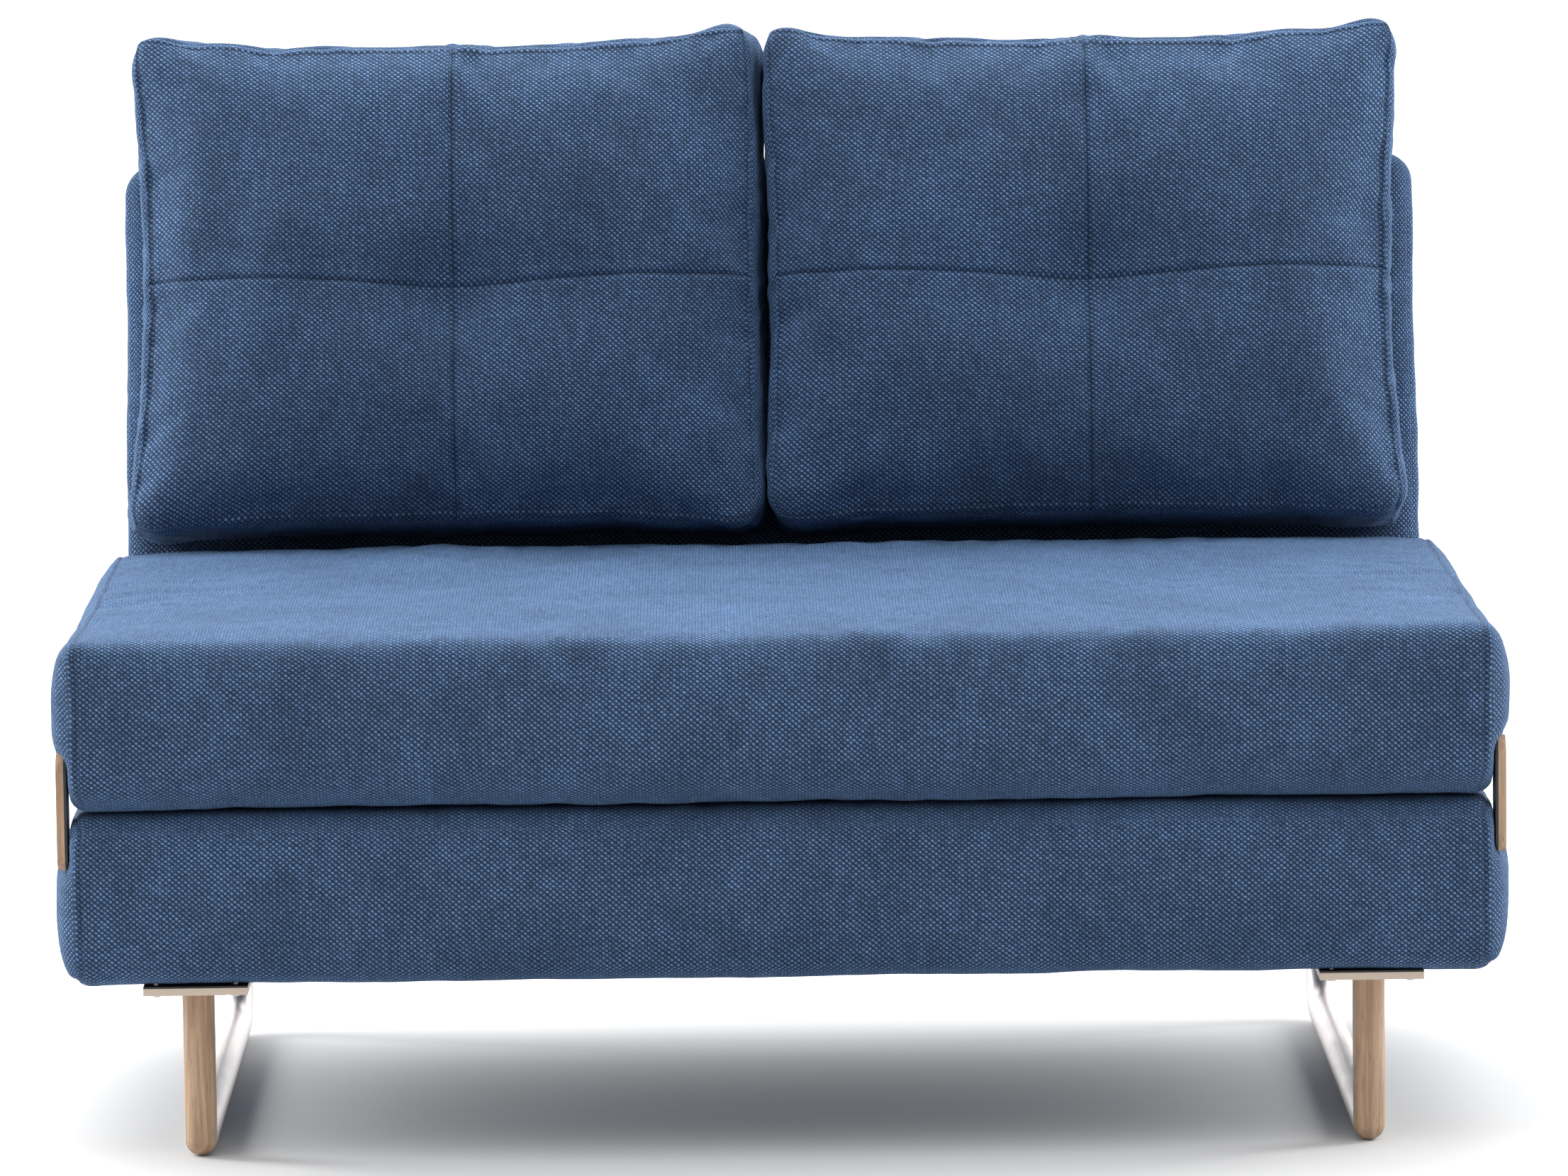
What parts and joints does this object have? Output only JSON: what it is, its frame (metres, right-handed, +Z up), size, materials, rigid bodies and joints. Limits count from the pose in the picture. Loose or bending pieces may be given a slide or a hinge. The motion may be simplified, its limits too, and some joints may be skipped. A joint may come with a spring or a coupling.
{
  "type": "sofa bed",
  "caption": "Compact futon sofa bed: stacked folding mattress sections on oak legs and steel runners, reclining padded back, loose back cushions.",
  "frame": {"origin": "on the floor, at the middle of the whole piece's width and depth in the sofa position", "axes": "+Z up, the seat's front faces -Y, +X to the right of someone looking at the front"},
  "size_m": [1.2074, 0.8756, 0.8991],
  "materials": {
    "cover_cloth": "matte",
    "foam": "matte",
    "filling": "matte",
    "oak": "satin",
    "pine": "matte",
    "satin_steel": "satin",
    "black_steel": "satin",
    "plate_paint": "satin",
    "bush_plastic": "matte",
    "gasket_black": "matte",
    "zinc": "satin"
  },
  "bodies": {
    "base": {"lower_cover": "cover_cloth", "lower_side_rails": "pine", "lower_end_rails": "pine", "lower_slats": "pine", "lower_foam": "foam", "corner_blocks": "pine", "front_leg_left": "oak", "front_leg_right": "oak", "leg_plates": "plate_paint", "leg_gaskets": "gasket_black", "leg_collars": "plate_paint", "leg_screws": "zinc", "leg_studs": "zinc", "runner_left": "satin_steel", "runner_right": "satin_steel", "upright_bolts": "satin_steel", "hinge_forks": "satin_steel", "hinge_pins": "satin_steel", "link_bolts_lower": "black_steel"},
    "link_left": {"link_oak_left": "oak", "link_steel_left": "black_steel", "link_bushes_left": "bush_plastic"},
    "link_right": {"link_oak_right": "oak", "link_steel_right": "black_steel", "link_bushes_right": "bush_plastic"},
    "seat": {"seat_cover": "cover_cloth", "seat_side_rails": "pine", "seat_end_rails": "pine", "seat_slats": "pine", "seat_foam_lower": "foam", "seat_foam_upper": "foam", "link_bolts_upper": "black_steel", "swing_leg_bolts": "zinc", "swing_leg_washers": "zinc"},
    "swing_leg_left": {"swing_leg_left": "oak"},
    "swing_leg_right": {"swing_leg_right": "oak"},
    "back": {"back_cover": "cover_cloth", "back_foam": "foam", "back_board": "pine", "back_end_rails": "pine", "back_posts": "pine", "hinge_lugs": "black_steel", "lug_screws": "zinc"},
    "cushion_left": {"cushion_cover_left": "cover_cloth", "cushion_filling_left": "filling"},
    "cushion_right": {"cushion_cover_right": "cover_cloth", "cushion_filling_right": "filling"}
  },
  "joints": [
    {"name": "seat_flip", "type": "hinge", "parent": "link_left", "child": "seat", "pos_m": [0, -0.40829, 0.3255], "axis": [1, 0, 0], "range_deg": [0, 90], "deforming": ["cushion_cover_left", "cushion_filling_left", "cushion_cover_right", "cushion_filling_right"]},
    {"name": "link_left_swing", "type": "hinge", "parent": "base", "child": "link_left", "pos_m": [-0.599, -0.40829, 0.2655], "axis": [1, 0, 0], "range_deg": [0, 90]},
    {"name": "link_right_swing", "type": "hinge", "parent": "base", "child": "link_right", "pos_m": [0.599, -0.40829, 0.2655], "axis": [1, 0, 0], "range_deg": [0, 90]},
    {"name": "back_recline", "type": "hinge", "parent": "base", "child": "back", "pos_m": [0, 0.24847, 0.2825], "axis": [-1, 0, 0], "range_deg": [0, 77.5]},
    {"name": "cushion_left_lift", "type": "slide", "parent": "back", "child": "cushion_left", "axis": [0, -0.9763, 0.2164], "range_m": [0, 0.25]},
    {"name": "cushion_right_lift", "type": "slide", "parent": "back", "child": "cushion_right", "axis": [0, -0.9763, 0.2164], "range_m": [0, 0.25]},
    {"name": "swing_leg_left_turn", "type": "hinge", "parent": "seat", "child": "swing_leg_left", "pos_m": [-0.53, 0.24071, 0.375], "axis": [0, -1, 0], "range_deg": [0, 90]},
    {"name": "swing_leg_right_turn", "type": "hinge", "parent": "seat", "child": "swing_leg_right", "pos_m": [0.53, 0.24071, 0.375], "axis": [0, 1, 0], "range_deg": [0, 90]}
  ],
  "couplings": [
    {"joint": "link_left_swing", "follows": "seat_flip", "ratio": 1},
    {"joint": "link_right_swing", "follows": "seat_flip", "ratio": 1}
  ]
}
